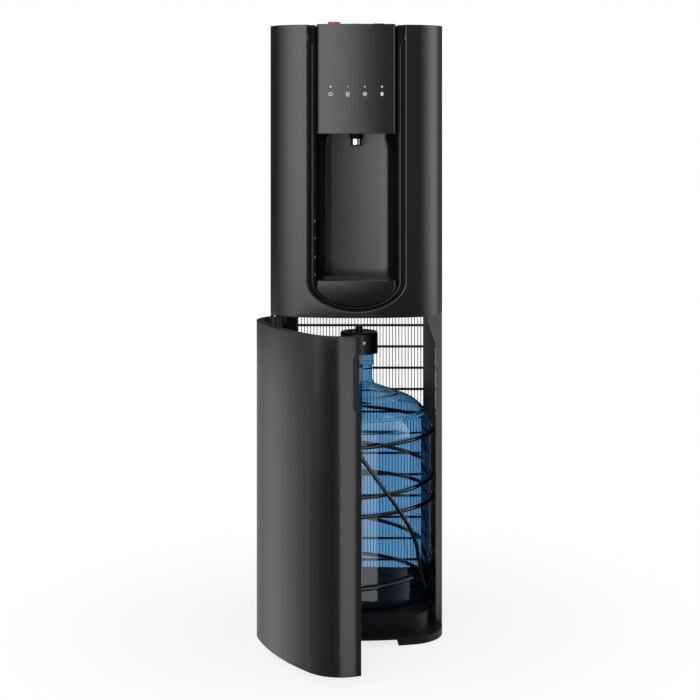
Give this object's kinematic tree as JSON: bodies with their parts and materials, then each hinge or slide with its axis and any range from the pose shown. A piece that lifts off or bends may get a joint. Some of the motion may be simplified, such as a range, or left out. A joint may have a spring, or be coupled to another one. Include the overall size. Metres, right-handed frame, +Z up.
{
  "type": "bottom load water cooler",
  "caption": "Tall graphite water cooler with a recessed dispenser above and a curved hinged door standing open over a bottle bay with a looped hose.",
  "frame": {"origin": "on the floor under the middle of the cabinet, on the flat underside of the bottom plate", "axes": "+Z up, the front faces -Y, +X is to the right seen from the front"},
  "size_m": [0.3208, 0.5336, 1.064],
  "materials": {
    "graphite_plastic": "satin moulded",
    "graphite_paint": "satin powder coat",
    "black_plastic": "fine texture",
    "zinc_steel": "zinc plated sheet",
    "bright_chrome": "polished",
    "red_plastic": "gloss",
    "white_plastic": "semi gloss",
    "blue_plastic": "gloss",
    "spring_steel": "drawn wire",
    "switch_plastic": "moulded",
    "lamp_lens": "clear, lit from behind",
    "circuit_board": "solder mask",
    "silicone": "translucent silicone",
    "stainless": "drawn stainless",
    "foam": "moulded foam",
    "copper": "drawn copper",
    "soft_rubber": "moulded",
    "condenser_paint": "semi gloss black",
    "bottle_blue": "clear blown bottle",
    "hose_black": "smooth",
    "clear_plastic": "clear tube"
  },
  "bodies": {
    "cabinet": {"base_pan": "graphite_plastic", "bottom_plate": "zinc_steel", "side_panel_left": "graphite_paint", "side_panel_right": "graphite_paint", "front_pillar_left": "graphite_plastic", "front_pillar_right": "graphite_plastic", "mid_deck": "zinc_steel", "hinge_brackets": "zinc_steel", "upper_fascia": "graphite_plastic", "channel_bezel": "black_plastic", "alcove_liner": "black_plastic", "nozzle_plate": "black_plastic", "nozzle": "bright_chrome", "control_head": "graphite_plastic", "button_carrier": "black_plastic", "button_switches": "switch_plastic", "button_springs": "spring_steel", "indicator_lenses": "lamp_lens", "indicator_board": "circuit_board", "top_cover": "black_plastic", "dispense_manifold": "white_plastic", "dispense_valves": "switch_plastic", "water_lines": "silicone", "water_pump": "switch_plastic", "hose_fitting": "white_plastic", "rear_screws": "zinc_steel", "tank_shelf": "zinc_steel", "cold_tank": "stainless", "tank_jackets": "foam", "evaporator_coil": "copper", "hot_tank": "stainless", "compressor": "black_plastic", "compressor_grommets": "soft_rubber", "refrigerant_lines": "copper", "power_board": "white_plastic", "condenser_tube": "condenser_paint", "condenser_wires": "condenser_paint", "condenser_brackets": "condenser_paint", "rear_cover": "zinc_steel", "power_inlet": "black_plastic", "switch_housings": "black_plastic", "drain_fitting": "stainless", "water_bottle": "bottle_blue", "bottle_cap": "black_plastic", "cap_vent": "white_plastic", "probe_tube": "clear_plastic", "supply_hose": "hose_black"},
    "door": {"door_skin": "graphite_plastic", "door_liner": "black_plastic", "door_pull_cup": "black_plastic", "door_magnet": "zinc_steel", "door_bushes": "white_plastic"},
    "hot_button": {"hot_button": "red_plastic"},
    "room_button": {"room_button": "white_plastic"},
    "cold_button": {"cold_button": "blue_plastic"},
    "tray": {"drip_tray": "graphite_plastic"},
    "grille": {"drip_grille": "black_plastic"},
    "hot_switch": {"hot_switch": "red_plastic"},
    "cold_switch": {"cold_switch": "blue_plastic"},
    "drain_cap": {"drain_cap": "black_plastic"}
  },
  "joints": [
    {"name": "door_hinge", "type": "hinge", "parent": "cabinet", "child": "door", "pos_m": [-0.1414, -0.1045, 0.285], "axis": [0, 0, -1], "range_deg": [-61.6, 48.4]},
    {"name": "hot_button_press", "type": "slide", "parent": "cabinet", "child": "hot_button", "axis": [0, 0, -1], "range_m": [0, 0.004], "stiffness_N_per_m": 350, "springref_m": -0.006, "deforming": ["button_springs"]},
    {"name": "room_button_press", "type": "slide", "parent": "cabinet", "child": "room_button", "axis": [0, 0, -1], "range_m": [0, 0.004], "stiffness_N_per_m": 350, "springref_m": -0.006, "deforming": ["button_springs"]},
    {"name": "cold_button_press", "type": "slide", "parent": "cabinet", "child": "cold_button", "axis": [0, 0, -1], "range_m": [0, 0.004], "stiffness_N_per_m": 350, "springref_m": -0.006, "deforming": ["button_springs"]},
    {"name": "drip_tray_slide", "type": "slide", "parent": "cabinet", "child": "tray", "axis": [0, -1, 0], "range_m": [0, 0.09]},
    {"name": "drip_grille_lift", "type": "slide", "parent": "tray", "child": "grille", "axis": [0, 0, 1], "range_m": [0, 0.03]},
    {"name": "hot_switch_rock", "type": "hinge", "parent": "cabinet", "child": "hot_switch", "pos_m": [-0.038, 0.1568, 1.012], "axis": [1, 0, 0], "range_deg": [-14, 0]},
    {"name": "cold_switch_rock", "type": "hinge", "parent": "cabinet", "child": "cold_switch", "pos_m": [-0.008, 0.1568, 1.012], "axis": [1, 0, 0], "range_deg": [-14, 0]},
    {"name": "drain_cap_turn", "type": "hinge", "parent": "cabinet", "child": "drain_cap", "pos_m": [-0.088, 0.165, 0.8055], "axis": [0, 1, 0], "range_deg": [0, 540]}
  ]
}
